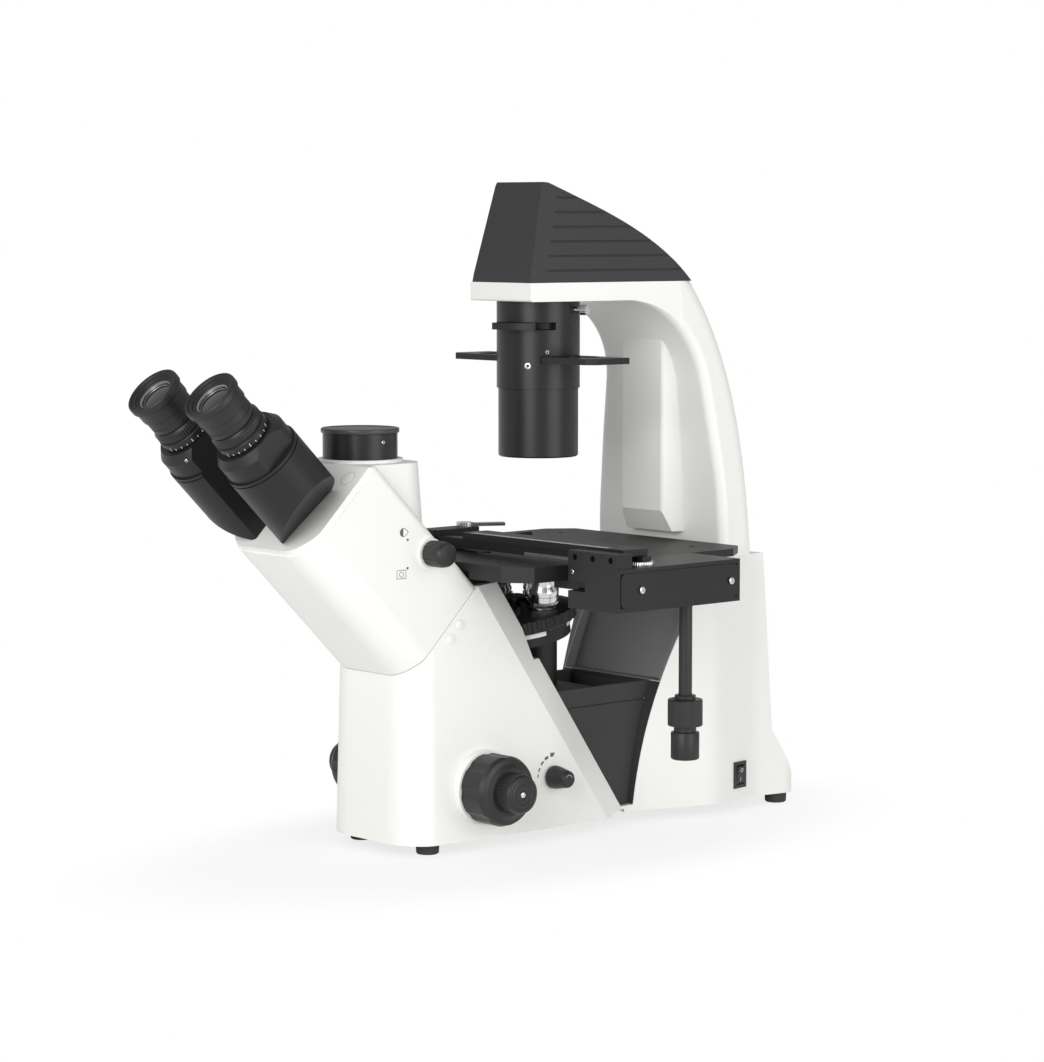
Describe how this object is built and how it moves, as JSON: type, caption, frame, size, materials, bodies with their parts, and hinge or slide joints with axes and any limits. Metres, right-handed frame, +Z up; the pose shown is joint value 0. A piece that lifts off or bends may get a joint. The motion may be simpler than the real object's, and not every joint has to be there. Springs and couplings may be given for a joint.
{
  "type": "inverted microscope",
  "caption": "Inverted laboratory microscope with inclined binocular head, photo port, five-place nosepiece, mechanical stage and overhead phase illumination arm.",
  "frame": {"origin": "middle of the whole object's footprint box, on the bench plane", "axes": "+X to the user's right, +Y to the back away from the user, +Z up"},
  "size_m": [0.2758, 0.542, 0.4723],
  "materials": {
    "white_enamel": "satin white enamel with fine orange peel",
    "black_enamel": "semi-matt black enamel or anodising",
    "black_plastic": "fine-grained moulded black plastic",
    "white_plastic": "smooth white plastic",
    "soft_rubber": "matt rubber",
    "optical_glass": "coated optical glass",
    "bright_chrome": "satin chrome plate",
    "satin_aluminium": "satin aluminium",
    "brass_gear": "machined brass",
    "green_board": "circuit board laminate"
  },
  "bodies": {
    "stand": {"main_casting": "white_enamel", "bottom_cover": "black_enamel", "rubber_feet": "soft_rubber", "casting_plugs": "white_plastic", "notch_liner": "black_plastic", "column_liner": "black_plastic", "illumination_arm": "white_enamel", "lamp_house_cover": "black_plastic", "lamp_module": "satin_aluminium", "lamp_lenses": "optical_glass", "condenser_body": "black_enamel", "condenser_clamp": "bright_chrome", "head_casting": "white_enamel", "head_face_plate": "white_enamel", "photo_port_tube": "black_enamel", "light_path_ring": "white_plastic", "binocular_hub": "black_enamel", "focus_flanges": "white_plastic", "beam_mirror": "satin_aluminium", "relay_tube": "satin_aluminium", "stage_plate": "black_enamel", "stage_insert": "satin_aluminium", "stage_supports": "black_enamel", "y_guide": "black_enamel", "dimmer_control": "satin_aluminium", "switch_frame": "black_plastic", "mains_inlet": "black_plastic", "power_board": "green_board"},
    "aperture": {"aperture_lever": "black_enamel"},
    "phase": {"phase_slider": "black_enamel"},
    "photo_cap": {"photo_port_cap": "black_plastic"},
    "light_path": {"light_path_knob": "black_plastic", "light_path_shaft": "satin_aluminium", "beam_prism": "optical_glass"},
    "right_tube": {"right_tube_housing": "black_enamel"},
    "left_tube": {"left_tube_housing": "black_enamel"},
    "right_ocular": {"right_diopter_ring": "black_enamel", "right_eyepiece": "black_enamel", "right_eye_lens": "optical_glass"},
    "left_ocular": {"left_diopter_ring": "black_enamel", "left_eyepiece": "black_enamel", "left_eye_lens": "optical_glass"},
    "tension": {"focus_tension_ring": "black_plastic"},
    "coarse_focus": {"coarse_knobs": "black_plastic", "coarse_shaft": "satin_aluminium"},
    "fine_focus": {"fine_knobs": "black_plastic"},
    "nosepiece": {"nosepiece_carriage": "black_enamel", "focus_rack": "brass_gear"},
    "turret": {"turret": "black_enamel", "objectives": "bright_chrome", "turret_plug": "black_plastic"},
    "y_stage": {"y_carriage": "black_enamel", "carriage_cover": "black_enamel"},
    "x_stage": {"x_bar": "black_enamel", "specimen_holder": "black_enamel"},
    "finger": {"holder_finger": "bright_chrome"},
    "y_drive": {"y_knob": "black_plastic"},
    "x_drive": {"x_knob": "black_plastic"},
    "brightness": {"brightness_knob": "black_plastic"},
    "switch": {"switch_rocker": "black_plastic"}
  },
  "joints": [
    {"name": "focus_slide", "type": "slide", "parent": "stand", "child": "nosepiece", "axis": [0, 0, 1], "range_m": [-0.002, 0.007]},
    {"name": "coarse_turn", "type": "hinge", "parent": "stand", "child": "coarse_focus", "pos_m": [-0.03095, -0.03602, 0.045], "axis": [1, 0, 0], "range_deg": [-19.2, 67.2]},
    {"name": "tension_turn", "type": "hinge", "parent": "stand", "child": "tension", "pos_m": [-0.09395, -0.03602, 0.045], "axis": [1, 0, 0], "range_deg": [-60, 60]},
    {"name": "fine_turn", "type": "hinge", "parent": "coarse_focus", "child": "fine_focus", "pos_m": [-0.03095, -0.03602, 0.045], "axis": [1, 0, 0], "continuous": true},
    {"name": "turret_turn", "type": "hinge", "parent": "nosepiece", "child": "turret", "pos_m": [-0.03095, 0.03998, 0.157], "axis": [0, -0.1736, 0.9848], "continuous": true},
    {"name": "y_slide", "type": "slide", "parent": "stand", "child": "y_stage", "axis": [0, 1, 0], "range_m": [-0.038, 0.038]},
    {"name": "x_slide", "type": "slide", "parent": "y_stage", "child": "x_stage", "axis": [1, 0, 0], "range_m": [-0.025, 0.038]},
    {"name": "y_knob_turn", "type": "hinge", "parent": "y_stage", "child": "y_drive", "pos_m": [0.11205, 0.07598, 0.12], "axis": [0, 0, 1], "range_deg": [-217.72, 217.72]},
    {"name": "x_knob_turn", "type": "hinge", "parent": "y_stage", "child": "x_drive", "pos_m": [0.11205, 0.07598, 0.09], "axis": [0, 0, 1], "range_deg": [-143.24, 217.72]},
    {"name": "finger_turn", "type": "hinge", "parent": "x_stage", "child": "finger", "pos_m": [-0.08595, 0.03998, 0.215], "axis": [0, 0, 1], "range_deg": [-30, 30]},
    {"name": "right_tube_turn", "type": "hinge", "parent": "stand", "child": "right_tube", "pos_m": [-0.03095, -0.16201, 0.26191], "axis": [0, -0.7071, 0.7071], "range_deg": [-18.3, 29.9]},
    {"name": "left_tube_turn", "type": "hinge", "parent": "stand", "child": "left_tube", "pos_m": [-0.03095, -0.15847, 0.25838], "axis": [0, -0.7071, 0.7071], "range_deg": [-29.9, 18.3]},
    {"name": "right_diopter_turn", "type": "hinge", "parent": "right_tube", "child": "right_ocular", "pos_m": [0.00155, -0.23534, 0.30879], "axis": [0, -0.7071, 0.7071], "range_deg": [-150, 150]},
    {"name": "left_diopter_turn", "type": "hinge", "parent": "left_tube", "child": "left_ocular", "pos_m": [-0.06345, -0.23534, 0.30879], "axis": [0, -0.7071, 0.7071], "range_deg": [-150, 150]},
    {"name": "light_path_turn", "type": "hinge", "parent": "stand", "child": "light_path", "pos_m": [0.01905, -0.08102, 0.2145], "axis": [1, 0, 0], "range_deg": [-90, 0]},
    {"name": "phase_slide", "type": "slide", "parent": "stand", "child": "phase", "axis": [1, 0, 0], "range_m": [-0.038, 0.038]},
    {"name": "aperture_turn", "type": "hinge", "parent": "stand", "child": "aperture", "pos_m": [-0.03095, 0.06398, 0.368], "axis": [0, 0, 1], "range_deg": [-25, 25]},
    {"name": "photo_cap_lift", "type": "slide", "parent": "stand", "child": "photo_cap", "axis": [0, 0, 1], "range_m": [0, 0.03]},
    {"name": "brightness_turn", "type": "hinge", "parent": "stand", "child": "brightness", "pos_m": [0.02905, 0.02958, 0.045], "axis": [1, 0, 0], "range_deg": [0, 270]},
    {"name": "switch_rock", "type": "hinge", "parent": "stand", "child": "switch", "pos_m": [0.0332, 0.21098, 0.027], "axis": [-0.1187, 0.9929, 0], "range_deg": [-16, 0]}
  ],
  "couplings": [
    {"joint": "coarse_turn", "follows": "focus_slide", "rad_per_m": 167.55},
    {"joint": "y_knob_turn", "follows": "y_slide", "rad_per_m": 100},
    {"joint": "x_knob_turn", "follows": "x_slide", "rad_per_m": 100},
    {"joint": "left_tube_turn", "follows": "right_tube_turn", "ratio": -1}
  ]
}
